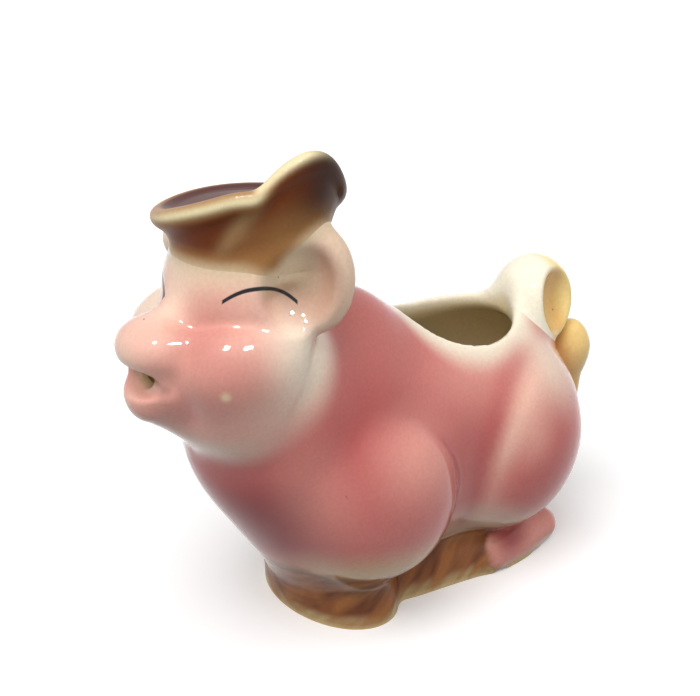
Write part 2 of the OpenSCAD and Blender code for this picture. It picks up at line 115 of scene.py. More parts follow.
def smooth(low, high, value):
    """0 at low and before it, 1 at high and past it, with an even ease between. Low may be the greater."""
    t = np.clip((value - low) / (high - low), 0, 1)
    return t * t * (3 - 2 * t)


def growing(least, more, axis, low, high):
    """A fillet that grows from its least radius by so much more between two places on an axis."""
    return lambda p: least + more * smooth(low, high, p[..., axis])


def both_sides(p):
    """The points, with those on the pig's right moved to the same place on its left."""
    q = p.copy()
    q[..., Y] = np.abs(q[..., Y])
    return q


def mirrored(form):
    """The form on the pig's other side."""
    return lambda p: form(p * np.array((1, -1, 1), p.dtype))


def leaning(shape, offset, half):
    """An egg that leans as another egg does, set off from its middle along its own axes."""
    at, _, turn = shape
    return np.array(at) + turned(*turn) @ offset, half, turn


# Sizes. An egg has a middle, half sizes and, where it leans, a turn in degrees.
# A rod has two ends and the radius at each. A side of the beret is in degrees round from the front.

WALL = 4.0
SEAT = 1.0
WALL_FILLET, EDGE_FILLET = 4, 2

BARREL = ((-10, 0, 42), (43, 28.5, 36))
CHEST = ((28, 0, 40), (29, 29, 33))
THROAT = ((44, 0, 58), (26, 24.5, 26))
NECK = ((27, 0, 66.5), (20, 19, 24.3))
BACK = ((6, 0, 54), (19, 20, 18))
BODY_FILLET = 14

OPENING_AT, OPENING_LEAN = (-12, 0, 70.4), (0, -8, 0)
OPENING_HALF = (20, 17)
OPENING_DEEP, OPENING_FILLET = 20, 3

SKULL = ((55, 0, 98), (18.6, 20.4, 18))
LEFT_CHEEK = ((61.5, 13, 85.2), (18, 13, 12.4))
RIGHT_CHEEK = ((61.5, -12.5, 85), (16.6, 12.6, 12.2))
JOWL = ((58.5, 8, 71.8), (17, 14, 14))
JAW = ((69.5, 0, 70.8), (81.2, 0, 76.2), 9, 5.8)
LIPS = ((77.5, 0, 81), (8.8, 9.5, 7.6))
SNOUT = ((79.2, 0, 89.4), (9.6, 10.6, 7.1))
JOWL_FILLET, EYE_CREASE_FILLET, LIP_FILLET = 10, 1.8, 6
SNOUT_FILLET = growing(4, 4, Z, 90, 97)
HEAD_HOLLOW = ((56.75, 0, 84.9), (9.9, 8, 14.4))

MOUTH_Z = 82.4
MOUTH = ((86.4, 0, MOUTH_Z), (4.6, 8.4, 3.6))
SPOUT = ((62, 0, MOUTH_Z), (92, 0, MOUTH_Z), 2.9, 2.9)
MOUTH_FILLET = 1
GROOVE_HALF_HEIGHT, GROOVE_HALF_WIDTH = 2.4, 7.5
GROOVE_DEEP, GROOVE_ENDS_ABOVE, GROOVE_OUT = 2, 0.6, 0.2
GROOVE_FILLET, GROOVE_OUT_FILLET = 1.5, 1

HAT_AT = (52, 0)
BAND_Z, BAND_OUT, BAND_SUNK = 107, 17.6, 3
RIM_LOW, RIM_TILT, RIM_SIDE = 116.3, 12.5, 72
RIM_LEAST = 4
LOBE_RISE, LOBE_SIDE, LOBE_SHARP = 8.5, 100, 6.5
DIP_DEEP, DIP_SIDE, DIP_SHARP = 1.6, 62, 60
FOLD_DEEP, FOLD_SIDE, FOLD_SHARP = 2.2, 58, 25
FOLD_END = 1.6
FLARE, FLARE_CURVE, FLARE_CURVE_LOBE = 5.6, 1.3, 0.6
FLARE_TOP = 1.3
TOP_Z, TOP_RIM_Z, TOP_OUT = 119.6, 120, 22
TOP_CURVE, TOP_END = 1.2, 1.2
ROLL, ROLL_OUT, ROLL_OUT_LOBE = 1.8, 21, 0.7
HAT_FILLET, HAT_SLOPE = 3, 0.85

LEFT_EAR = ((47.8, 20.1, 104.9), (6, 10, 13.5), (0, -8, 50))
LEFT_EAR_CUP = leaning(LEFT_EAR, (8, -2.6, -0.6), (8.6, 9, 10.8))
LEFT_EAR_CUP_FILLET = 2.5
RIGHT_EAR = ((49, -21, 102), (13.5, 5.5, 8.5), (0, -20, -15))
RIGHT_EAR_CUP = leaning(RIGHT_EAR, (0, -5, 0), (10.5, 5.5, 6))

FORELEG = ((26, 23.5, 37.5), (20, 13, 23), (-8, 12, 0))
FORELEG_FILLET = growing(2.5, 8, X, 16, 40)
HAUNCH = ((-22.2, 16.5, 37), (23.2, 18, 26), (0, -15, 0))
HAUNCH_FILLET = growing(3.5, 5, Z, 34, 56)
HIND_FOOT = ((-15, 19.75, 5), (-36, 17.75, 5), 5, 5)

FRONT_MOUND = ((28, 0, 0), (15.5, 23.5, 25))
MIDDLE_MOUND = ((3, 0, 0), (30, 20, 14))
REAR_MOUND = ((-22, 0, 0), (23, 23, 13))
REAR_FILLET, FRONT_FILLET = 14, 3

CURL = ((-44.2, 1.6, 69.1), (11.5, 15, 13.5), (0, -9, 118))
CURL_RECESS = leaning(CURL, (10.5, -2.2, 0.6), (6.5, 9.4, 9.8))
KNOB_AT, KNOB_HALF = (-57.2, 5.5, 52.4), (5.8, 6, 8.5)
TAIL_END = (KNOB_AT, (-57.6, 5.5, 33.8), 4.6, 3)
TAIL_FILLET = 3


def body(p):
    out = egg(p, *BARREL)
    for shape in (CHEST, THROAT, NECK, BACK):
        out = meld(out, egg(p, *shape), BODY_FILLET)
    return out


def head(p):
    """Skull, cheeks, jowls and jaw, then the lips with the mouth's groove between them, and the snout."""
    cheeks = np.minimum(egg(p, *LEFT_CHEEK), egg(p, *RIGHT_CHEEK))
    lower = meld(cheeks, egg(both_sides(p), *JOWL), JOWL_FILLET)
    face = meld(egg(p, *SKULL), lower, EYE_CREASE_FILLET)
    lips = egg(p, *LIPS)
    face = meld(meld(face, rod(p, *JAW), LIP_FILLET), lips, LIP_FILLET)
    depth = GROOVE_DEEP * np.clip(1 - (p[..., Y] / GROOVE_HALF_WIDTH) ** 2, 0, 1) - GROOVE_ENDS_ABOVE
    groove = both(np.abs(p[..., Z] - MOUTH_Z) - GROOVE_HALF_HEIGHT, -lips - depth, GROOVE_FILLET)
    groove = both(groove, lips - GROOVE_OUT, GROOVE_OUT_FILLET)
    face = carve(face, groove, GROOVE_FILLET)
    return meld(face, egg(p, *SNOUT), SNOUT_FILLET(p))


def around_hat(p):
    """How far the points are from the beret's middle, and their angle round it from the front."""
    x, y = p[..., X] - HAT_AT[X], p[..., Y] - HAT_AT[Y]
    return np.hypot(x, y), np.arctan2(y, x)


def at_side(angle, side, sharp):
    """A weight that is 1 at one side of the beret and falls off round it."""
    return np.exp(sharp * (np.cos(angle - np.radians(side)) - 1))


def lobe_weight(angle):
    return at_side(angle, LOBE_SIDE, LOBE_SHARP)


def rim_height(angle):
    """Height of the beret's rim, which tilts up to the left, dips there and turns up into a lobe."""
    tilt = (0.5 + 0.5 * np.cos(angle - np.radians(RIM_SIDE))) ** 2
    dip = at_side(angle, DIP_SIDE, DIP_SHARP)
    return RIM_LOW + RIM_TILT * tilt + LOBE_RISE * lobe_weight(angle) - DIP_DEEP * dip


def beret(p):
    """A cap that flares up to the rim, with a fold in its side, a dished top and a rolled edge."""
    out, angle = around_hat(p)
    z = p[..., Z]
    rim, lobe = rim_height(angle), lobe_weight(angle)
    up = np.clip((z - BAND_Z) / np.maximum(rim - BAND_Z, RIM_LEAST), 0, FLARE_TOP)
    fold = FOLD_DEEP * at_side(angle, FOLD_SIDE, FOLD_SHARP) * up * (FOLD_END - up)
    flare = FLARE * up ** (FLARE_CURVE - FLARE_CURVE_LOBE * lobe)
    side = (out - (BAND_OUT + lobe + flare - fold)) * HAT_SLOPE
    dish = np.clip(out / TOP_OUT, 0, TOP_END) ** TOP_CURVE
    top = (z - (TOP_Z + (rim - TOP_RIM_Z) * dish)) * HAT_SLOPE
    cap = both(both(side, top, HAT_FILLET), BAND_Z - BAND_SUNK - z, HAT_FILLET)
    roll = np.hypot(out - ROLL_OUT - ROLL_OUT_LOBE * lobe, z - rim + ROLL) - ROLL
    return meld(cap, roll, HAT_FILLET)


def left_ear(p):
    """The ear without its cup, which clay() carves out of the ear and the head together."""
    return egg(p, *LEFT_EAR)


def right_ear(p):
    return carve(egg(p, *RIGHT_EAR), egg(p, *RIGHT_EAR_CUP), EDGE_FILLET)


def foreleg(p):
    return egg(p, *FORELEG)


def haunch(p):
    return egg(p, *HAUNCH)


def hind_foot(p):
    return rod(p, *HIND_FOOT)


def grass_base(p):
    rear = meld(egg(p, *REAR_MOUND), egg(p, *MIDDLE_MOUND), REAR_FILLET)
    return meld(egg(p, *FRONT_MOUND), rear, FRONT_FILLET)


def tail_curl(p):
    return carve(egg(p, *CURL), egg(p, *CURL_RECESS), EDGE_FILLET)


def tail_tip(p):
    return meld(egg(p, KNOB_AT, KNOB_HALF), rod(p, *TAIL_END), TAIL_FILLET)


# Each piece's form and the fillet that its slip leaves against the pieces before it
PIECES = {
    "body_shell": (body, None),
    "left_haunch": (haunch, HAUNCH_FILLET),
    "right_haunch": (mirrored(haunch), HAUNCH_FILLET),
    "left_foreleg": (foreleg, FORELEG_FILLET),
    "right_foreleg": (mirrored(foreleg), FORELEG_FILLET),
    "left_hind_foot": (hind_foot, 2),
    "right_hind_foot": (mirrored(hind_foot), 2),
    "grass_base": (grass_base, growing(5, 7, X, 10, 40)),
    "head_shell": (head, growing(6, 9, X, 60, 46)),
    "left_ear": (left_ear, growing(3, 7, X, 46, 55)),
    "right_ear": (right_ear, 3),
    "beret": (beret, 4),
    "tail_curl": (tail_curl, growing(3, 3, X, -44, -32)),
    "tail_tip": (tail_tip, 2),
}
CARRIERS = ("body_shell", "head_shell")


def oval(p):
    """How far out the points are in the back's oval opening, 1 at its edge, and how high above it."""
    q = (p - np.array(OPENING_AT, p.dtype)) @ turned(*OPENING_LEAN).astype(p.dtype)
    return np.hypot(q[..., X] / OPENING_HALF[X], q[..., Y] / OPENING_HALF[Y]), q[..., Z]


def hollow(p, from_body, from_head):
    """The space inside: belly, neck and head, the oval opening in the back and the pouring mouth."""
    across, above = oval(p)
    opening = both((across - 1) * OPENING_HALF[Y], -above - OPENING_DEEP, OPENING_FILLET)
    mouth = meld(egg(p, *MOUTH), rod(p, *SPOUT), MOUTH_FILLET)
    inside = meld(from_body + WALL, from_head + WALL, WALL_FILLET)
    inside = carve(inside, egg(p, *LEFT_EAR_CUP) - WALL, EDGE_FILLET)
    inside = np.minimum(inside, egg(p, *HEAD_HOLLOW))
    return np.minimum(meld(inside, opening, EDGE_FILLET), mouth)


def clay(p):
    """Distances at the points from each piece's form, and from all of them joined by their fillets."""
    distances = {name: form(p) for name, (form, _) in PIECES.items()}
    outside = distances["body_shell"]
    for name, (_, fillet) in PIECES.items():
        if fillet:
            outside = meld(outside, distances[name], fillet(p) if callable(fillet) else fillet)
        if name == "left_ear":
            outside = carve(outside, egg(p, *LEFT_EAR_CUP), LEFT_EAR_CUP_FILLET)
    return distances, outside


FAR_OFF = 1e3


def measure(p):
    """Distances at the points: the whole skin, and for each piece its own region of the clay.

    A region holds the points that are nearest to its piece. The body and the head carry the rest,
    which is seated in them by SEAT.
    """
    distances, outside = clay(p)
    skin = carve(outside, hollow(p, distances["body_shell"], distances["head_shell"]), EDGE_FILLET)
    carrier = np.minimum(distances["body_shell"], distances["head_shell"])
    first = second = np.full_like(skin, FAR_OFF)
    for distance in distances.values():
        second = np.minimum(second, np.maximum(first, distance))
        first = np.minimum(first, distance)
    own = {}
    for name, distance in distances.items():
        edge = (distance - np.where(distance <= first, second, first)) / 2
        if name in CARRIERS:
            other = distances[CARRIERS[1 - CARRIERS.index(name)]]
            edge = np.minimum(edge, np.maximum(carrier + SEAT, (distance - other) / 2))
        else:
            edge = np.maximum(edge, -carrier - SEAT)
        own[name] = np.maximum(edge, -p[..., Z])
    return skin, own


# Meshing: a piece is the part of the skin's inside that lies in the piece's own region

CORNERS = np.array([[1, 1, 1], [1, -1, -1], [-1, 1, -1], [-1, -1, 1]])
STEP = 0.15
MARGIN, SLAB, BACKGROUND = 10, 16, 10.0
SETTLE_TURNS, CORNER_TURNS = 12, (5, 7, 9)
LEAST_SLOPE, LEAST_CROSSING = 0.1, 0.02

# In parts of the pitch: what counts as on a surface, as skin for the normals and as near an edge,
# and the longest move of a point in one turn
ON_SURFACE, SKIN_NORMAL, NEAR_EDGE, LONGEST_MOVE = 0.15, 0.2, 0.5, 0.7


def sense(points, name):
    """Skin and region distances at the points, with their slopes."""
    skin, own = measure(points)
    at = [measure(points + STEP * c) for c in CORNERS]
    skin_slope = sum(c * f[0][:, None] for c, f in zip(CORNERS, at)) / (4 * STEP)
    own_slope = sum(c * f[1][name][:, None] for c, f in zip(CORNERS, at)) / (4 * STEP)
    return skin, own[name], skin_slope, own_slope


def sides(skin, own, pitch):
    """Which points lie on the skin alone, and which on the seam alone."""
    on_skin, on_seam = np.abs(skin) < ON_SURFACE * pitch, np.abs(own) < ON_SURFACE * pitch
    return on_skin & ~on_seam, on_seam & ~on_skin


def cut_corners(quads, skin, own, pitch):
    """Of each quad that cuts straight across from skin to seam, the point that is nearest to both."""
    only_skin, only_seam = sides(skin, own, pitch)
    beside = np.roll(quads, 1, axis=1)
    across = only_skin[quads] & only_seam[beside] | only_seam[quads] & only_skin[beside]
    cut = quads[across.any(1)]
    off = np.where(only_skin | only_seam, np.maximum(np.abs(skin), np.abs(own)), np.inf)
    return cut[np.arange(len(cut)), off[cut].argmin(1)]


def split_quads(quads, only_skin, only_seam):
    """The quads, with those that fold over the edge of a seam cut in two along it."""
    across = only_skin[quads] & only_seam[np.roll(quads, 2, axis=1)]
    across |= np.roll(across, 2, axis=1)
    first, second = across[:, 0], across[:, 1]
    whole = quads[~first & ~second]
    a, b = quads[first], quads[second]
    halves = [a[:, [0, 1, 3]], a[:, [1, 2, 3]], b[:, [0, 1, 2]], b[:, [0, 2, 3]]]
    return whole.tolist() + np.concatenate(halves).tolist()


def settle(points, quads, name, pitch):
    """Moves the points onto the skin or the piece's seam, and those where the two meet onto both."""
    corner = np.zeros(len(points), bool)
    for turn in range(SETTLE_TURNS):
        skin, own, skin_slope, own_slope = sense(points, name)
        if turn in CORNER_TURNS:
            corner[cut_corners(quads, skin, own, pitch)] = True
        g1, g2 = (skin_slope**2).sum(1), (own_slope**2).sum(1)
        g12 = (skin_slope * own_slope).sum(1)
        on_skin = skin >= own
        slope = np.where(on_skin[:, None], skin_slope, own_slope)
        move = np.where(on_skin, skin, own) / np.maximum(np.where(on_skin, g1, g2), LEAST_SLOPE)
        step = move[:, None] * slope
        crossing = g1 * g2 - g12**2
        edge = (np.abs(skin) < NEAR_EDGE * pitch) & (np.abs(own) < NEAR_EDGE * pitch)
        edge = (edge | corner) & (crossing > LEAST_CROSSING)
        crossing = np.where(edge, crossing, 1)
        a = (g2 * skin - g12 * own) / crossing
        b = (g1 * own - g12 * skin) / crossing
        step = np.where(edge[:, None], a[:, None] * skin_slope + b[:, None] * own_slope, step)
        size = np.linalg.norm(step, axis=1, keepdims=True)
        points = points - step * np.minimum(1, LONGEST_MOVE * pitch / np.maximum(size, TINY))
    skin, own, skin_slope, own_slope = sense(points, name)
    normal = np.where((np.abs(skin) < SKIN_NORMAL * pitch)[:, None], skin_slope, own_slope)
    normal = normal / np.maximum(np.linalg.norm(normal, axis=1, keepdims=True), TINY)
    return points, normal, split_quads(quads, *sides(skin, own, pitch))


def piece_mesh(name, pitch):
    """Points, normals and faces of one closed piece."""
    low, high = (np.array(v) / MM + (SHIFT, 0, 0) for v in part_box(name))
    low, high = low - MARGIN, high + MARGIN
    axes = [np.arange(low[k], high[k] + pitch, pitch) for k in (X, Y, Z)]
    field = np.empty([len(a) for a in axes], np.float32)
    for i in range(0, len(axes[X]), SLAB):
        block = np.stack(np.meshgrid(axes[X][i:i + SLAB], axes[Y], axes[Z], indexing="ij"), -1)
        skin, own = measure(block.astype(np.float32))
        field[i:i + SLAB] = np.maximum(skin, own[name])
    grid = openvdb.FloatGrid(BACKGROUND)
    grid.copyFromArray(field)
    points, quads = grid.convertToQuads(0.0)
    return settle(points.astype(float) * pitch + low, quads.astype(int), name, pitch)


# Colour: a cream glaze, sprayed over with an airbrush, with painted shade and painted light in a few
# places as marked. p are points, n their normals and c their colours.
# Most ranges are in millimetres. Round the beret they are in degrees, up its side in parts of its height

def srgb(r, g, b):
    """A colour as it shows on a screen, from 0 to 255, as linear light."""
    c = np.array([r, g, b]) / 255
    return np.where(c <= 0.04045, c / 12.92, ((c + 0.055) / 1.055) ** 2.4)


IVORY = srgb(252, 243, 220)
CREAM = srgb(248, 236, 212)
OLIVE = srgb(230, 208, 172)
KHAKI = srgb(218, 192, 142)
ROSE = srgb(180, 79, 78)
WINE = srgb(150, 54, 58)
PINK = srgb(206, 116, 109)
BLUSH = srgb(236, 164, 149)
PEACH = srgb(254, 206, 184)
BROWN = srgb(126, 62, 26)
UMBER = srgb(58, 26, 14)
PLUM = srgb(84, 44, 38)
GOLD = srgb(172, 124, 74)
TAN = srgb(255, 239, 192)
YELLOW = srgb(252, 224, 150)
OCHRE = srgb(236, 190, 112)
CLAY = srgb(226, 206, 160)
SHELL = srgb(206, 164, 142)
SHADE = srgb(178, 150, 124)

# The puffs of the airbrush over the pig, the same on both sides. Two on the face hold painted light and
# shade, as marked:
# paint, strength, middle, half sizes and softness
COAT = (
    (ROSE, 0.8, (37, 24, 60), (13, 14, 15), 0.8),
    (WINE, 1, (61, 12, 38), (15, 20, 16), 0.8),
    (ROSE, 0.55, (-25, 35, 32), (14, 12, 15), 0.9),
    (ROSE, 0.3, (4, 28, 52), (10, 10, 14), 0.9),
    (BLUSH, 0.75, (24, 34, 55), (12, 10, 10), 0.9),
    (BLUSH, 0.6, (-6, 22, 66), (16, 12, 9), 0.9),
    (BLUSH, 0.4, (52, 26, 47), (8, 9, 14), 0.9),
    (CREAM, 0.65, (-31, 23, 61), (11, 12, 10), 0.9),
    (PEACH, 0.4, (-16, 31, 50), (6, 8, 9), 0.9),
    (KHAKI, 0.85, (36, 30, 19), (22, 18, 9), 0.8),
    (CREAM, 0.8, (-4, 22, 17), (13, 12, 9), 0.8),
    (KHAKI, 0.5, (-16, 26, 14), (9, 10, 5), 0.8),
)
FACE = (
    (PEACH, 0.6, (62, 14, 88), (30, 30, 22), 0.6),
    (PEACH, 0.8, (66, 14, 101), (18, 16, 10), 0.8),
    (PINK, 0.85, (73, 19, 86), (13, 12, 11), 0.9),
    (BLUSH, 0.65, (78, 13, 81), (11, 11, 9), 0.9),
    # Partly the chin's own pink, partly painted shade under the chin
    (PINK, 0.65, (80, 8, 73), (11, 12, 8), 0.9),
    (BLUSH, 0.7, (86, 4, 77), (6, 9, 4), 0.9),
    (BLUSH, 0.6, (66, 20, 70), (12, 12, 6), 0.9),
    # Painted light: ivory that lightens the face between the cheek and the ear
    (IVORY, 0.7, (53, 24, 88), (8, 8, 9), 0.9),
    (BLUSH, 0.6, (85, 4, 93), (8, 10, 6), 0.9),
    (BLUSH, 0.5, (82, 9, 87), (6, 5, 4), 0.9),
    (PINK, 0.6, (73, 11, 94), (6, 6, 9), 0.9),
    (BLUSH, 0.5, (68, 15, 101), (8, 8, 7), 0.9),
)

# Single puffs: middle, half sizes and softness
# Painted shade in the crease where the hind foot meets the haunch
FOOT_CREASE_SHADE = ((-19, 23, 9), (6, 6, 4), 0.9)
CURL_ROOT = ((-33, 8, 57), (7, 9, 6), 0.8)
JOWL_FLECK = ((74.3, 21.9, 82.6), (1, 1.5, 1.2), 0.6)
UNDER_BRIM = ((52.5, 19.5, 107), (6, 7, 8), 0.9)


def puff(p, at, half, soft):
    """Weight of one puff of the airbrush: 1 at its middle, fading out round its half sizes."""
    return 1 - smooth(1 - soft, 1 + soft, np.linalg.norm((p - np.array(at)) / np.array(half), axis=1))


def spray(colour, paint, weight):
    """The colour, covered by the paint as far as the weight says."""
    return colour + (paint - colour) * np.clip(weight, 0, 1)[:, None]


def near(value, width):
    """A weight that is 1 where the value is 0 and fades out on both sides of it."""
    return np.exp(-((value / width) ** 2))


def pair(distances, name):
    """Distances from the nearer of a left and a right piece."""
    return np.minimum(distances["left_" + name], distances["right_" + name])


def airbrushed(p, ground, puffs):
    """The ground colour with the puffs sprayed over it in turn."""
    q = both_sides(p)
    c = np.tile(ground, (len(p), 1))
    for paint, strength, at, half, soft in puffs:
        c = spray(c, paint, strength * puff(q, at, half, soft))
    return c


def face_colour(p):
    """Pink cheeks, snout and chin on cream, paler on the far side, and painted shade in the mouth's
    groove.
    """
    x, y, z = p[:, X], p[:, Y], p[:, Z]
    c = airbrushed(p, CREAM, FACE)
    c = spray(c, CREAM, 0.7 * smooth(-5, -11, y) * smooth(86, 92, z))
    # Painted shade: umber in the mouth's groove
    groove_shade = near(z - MOUTH_Z, 2.2) * near(y, 5.5) * smooth(80, 83, x)
    return spray(c, UMBER, 0.45 * groove_shade)


def skin_colour(p, distances):
    """The pig's colour: coat, rim of the opening, face, painted shade in the creases beside the legs, a
    painted highlight on the haunch's front, and feet.
    """
    x, z = p[:, X], p[:, Z]
    from_body = distances["body_shell"]
    leg = pair(distances, "foreleg")
    thigh = pair(distances, "haunch")
    foot = pair(distances, "hind_foot")
    c = airbrushed(p, PINK, COAT)
    c = spray(c, CREAM, smooth(1.45, 1.08, oval(p)[0]) * smooth(60, 68, z))
    c = spray(c, face_colour(p), smooth(-3, 8, from_body - distances["head_shell"]))
    # Painted shade: rose in the crease behind the foreleg
    shade_behind_leg = near(leg - from_body, 1.6) * smooth(28, 14, x) * smooth(14, 24, z)
    c = spray(c, ROSE, 0.75 * shade_behind_leg * smooth(62, 50, z))
    past_thigh = thigh - from_body
    in_front = smooth(-30, -18, x) * smooth(14, 22, z)
    # Painted shade: rose in the valley in front of the haunch
    c = spray(c, ROSE, 0.45 * near(past_thigh - 3, 3) * in_front * smooth(-2, 3, leg))
    # Painted highlight: peach along the haunch's front ridge
    ridge_highlight = (0.3 + 0.35 * smooth(34, 46, z)) * near(past_thigh + 1.5, 1.8)
    c = spray(c, PEACH, ridge_highlight * in_front)
    on_foot = smooth(2.5, 0, foot)
    c = spray(c, BLUSH, 0.7 * on_foot * smooth(1.5, 5, z))
    c = spray(c, CREAM, 0.8 * on_foot * smooth(4.5, 1, z))
    # Painted shade: rose in the crease over the hind foot, and wine where the foot meets the haunch
    above_foot = near(foot - thigh, 1.6) * smooth(2, 6, z) * smooth(-30, -24, x)
    c = spray(c, ROSE, 0.9 * above_foot)
    return spray(c, WINE, 0.9 * puff(both_sides(p), *FOOT_CREASE_SHADE) * on_foot)


def grass_weight(p, distances):
    """How much of the grass's brown lies at the points: on the base and up the legs, less to the rear."""
    x, z = p[:, X], p[:, Z]
    off_feet = smooth(-0.5, 1.5, pair(distances, "hind_foot"))
    on_base = smooth(5, 0.5, distances["grass_base"]) * smooth(26, 17, z) * off_feet
    on_legs = 0.9 * smooth(25, 16, z) * smooth(4, 14, x)
    above_foot = (0.45 + 0.55 * smooth(1, 9, z)) * smooth(-1.5, 1.5, z)
    return np.maximum(on_base, on_legs) * above_foot * smooth(-26, -14, x)


def beret_colour(p, n, from_head, from_ear):
    """Plum on top, a tan edge, a dark lobe, and brown below that thins out towards the brow."""
    out, angle = around_hat(p)
    degrees = np.degrees(angle)
    rim = rim_height(angle)
    from_rim = p[:, Z] - rim
    up = np.clip((p[:, Z] - BAND_Z) / (rim - BAND_Z), 0, 1.2)
    c = np.tile(OLIVE, (len(p), 1))
    c = spray(c, GOLD, smooth(0, 3, from_head) * smooth(-0.5, 3, from_ear))
    past_fold = smooth(36, 56, degrees) * smooth(0.8, 0.45, up)
    c = spray(c, BROWN, smooth(1, 5.5, from_head) * smooth(1, 8, from_ear) * (1 - 0.6 * past_fold))
    c = spray(c, UMBER, 0.95 * smooth(0.25, 0.7, up) * smooth(74, 106, degrees))
    streak = near(degrees - 24 - 43 * up, 8) * smooth(0.1, 0.5, up) * smooth(80, 66, degrees)
    c = spray(c, GOLD, 0.9 * streak)
    c = spray(c, TAN, 0.12 * streak)
    before_fold = smooth(66, 56, degrees)
    c = spray(c, UMBER, 0.25 * near(from_rim + 6, 2) * before_fold)
    c = spray(c, GOLD, 0.8 * smooth(-5, -3, from_rim) * before_fold)
    band = near(from_rim + 1.4, 1.2) * smooth(17.5, 19.5, out) * smooth(70, 60, degrees)
    c = spray(c, TAN, band * (0.25 + 0.75 * smooth(-28, 6, degrees)))
    lobe_edge = near(from_rim - 0.6, 1.3) * smooth(58, 64, degrees) * smooth(116, 88, degrees)
    c = spray(c, TAN, 0.9 * lobe_edge)
    return spray(c, PLUM, smooth(21.5, 20, out) * smooth(0.35, 0.75, n[:, Z]))


def tail_colour(name, p):
    """The curl is ivory with a blush at its root, yellow behind, and its yellow deepened to ochre in its
    recess as painted shade.

    The tip is yellow above and ochre below.
    """
    x, z = p[:, X], p[:, Z]
    if name == "tail_tip":
        return spray(np.tile(YELLOW, (len(p), 1)), OCHRE, 0.5 + 0.5 * smooth(50, 38, z))
    c = spray(np.tile(IVORY, (len(p), 1)), YELLOW, smooth(-43, -50, x))
    # Painted shade: ochre in the curl's recess
    c = spray(c, OCHRE, smooth(1.2, 0, egg(p, *CURL_RECESS)) * smooth(-54, -49, x))
    return spray(c, BLUSH, 0.7 * puff(p, *CURL_ROOT))


def piece_colour(name, p, n, distances, outside):
    """Colours at the points of one piece. The inside of the walls has the clay's own colour."""
    x, z = p[:, X], p[:, Z]
    if name == "beret":
        return beret_colour(p, n, distances["head_shell"], distances["left_ear"])
    if name in ("tail_curl", "tail_tip"):
        c = tail_colour(name, p)
    else:
        c = skin_colour(p, distances)
    if name in ("left_ear", "right_ear"):
        c = spray(c, OLIVE, 0.7 * smooth(52, 46, x))
        c = spray(c, BLUSH, 0.25 * smooth(54, 48, x))
    if name in ("left_ear", "head_shell"):
        in_cup = smooth(3.5, -0.5, egg(p, *LEFT_EAR_CUP)) * smooth(58, 51, x) * smooth(90, 98, z)
        c = spray(c, SHELL, 0.85 * in_cup)
    if name == "right_ear":
        c = spray(c, SHELL, 0.85 * smooth(1.6, 0.2, egg(p, *RIGHT_EAR_CUP)))
    if name == "grass_base":
        c = spray(c, KHAKI, smooth(6, 3, z))
    c = spray(c, OLIVE, smooth(3.5, 0, distances["beret"]))
    c = spray(c, TAN, 0.6 * puff(p, *JOWL_FLECK))
    # Painted shade under the beret's brim, on the ear and the head beside it
    c = spray(c, SHADE, 0.65 * puff(p, *UNDER_BRIM) * smooth(-0.5, 1.5, distances["beret"]))
    return spray(c, CLAY, smooth(0.6, 4, -outside))


# Glaze

class Nodes:
    """A node tree, whose nodes are added and joined by name."""

    def __init__(self, tree):
        self.tree = tree

    def add(self, kind, settings=None, **inputs):
        """A new node. Its inputs are given by name, or by number as i0, i1 and so on."""
        node = self.tree.nodes.new("ShaderNode" + kind)
        for key, value in (settings or {}).items():
            setattr(node, key, value)
        for key, value in inputs.items():
            self.join(value, node.inputs[int(key[1:]) if key[1:].isdigit() else key])
        return node

    def join(self, value, socket):
        """Gives a socket its value, which is a number, a tuple or another node's output."""
        if isinstance(value, bpy.types.NodeSocket):
            self.tree.links.new(value, socket)
        else:
            socket.default_value = value

    def math(self, operation, a, b=0.0):
        return self.add("Math", {"operation": operation}, i0=a, i1=b).outputs[0]

    def vector(self, operation, a, b):
        node = self.add("VectorMath", {"operation": operation}, i0=a, i1=b)
        return node.outputs["Value" if operation == "DOT_PRODUCT" else "Vector"]

    def mix(self, weight, a, b, blend="MIX"):
        settings = {"data_type": "RGBA", "blend_type": blend}
        return self.add("Mix", settings, i0=weight, i6=a, i7=b).outputs[2]

    def ramp(self, value, start, end, first, last, kind="LINEAR"):
        """A value that goes from first to last while the given one goes from start to end."""
        settings = {"interpolation_type": kind}
        return self.add("MapRange", settings, i0=value, i1=start, i2=end, i3=first, i4=last).outputs[0]

    def seen(self):
        """1 for rays from the camera and for mirrored or refracted ones, 0 for all others."""
        path = self.add("LightPath").outputs
        seen = path["Is Camera Ray"]
        for name in ("Is Glossy Ray", "Is Transmission Ray"):
            seen = self.math("MAXIMUM", seen, path[name])
        return seen


def new_material(name):
    """A material, its nodes and its shader's inputs."""
    material = bpy.data.materials.new(name)
    material.use_nodes = True
    tree = material.node_tree
    return material, Nodes(tree), tree.nodes["Principled BSDF"].inputs


# The closed eye: its middle, the directions along and up, and its arc, in millimetres
EYE_MIDDLE = (61.5, 18.3, 101.2)
EYE_ALONG = (-0.83, 0.53, -0.1)
EYE_UP = (-0.2, -0.15, 0.97)
EYE_HALF, EYE_RISE = 9.0, 3.9
EYE_LINE, EYE_SOFT, EYE_END = 0.5, 0.15, 0.3
FAR_EYE_SHIFT = (5.6, -8.6, -3.2)
FAR_EYE_WIDER = 1.5
INK = (0.012, 0.012, 0.018, 1)


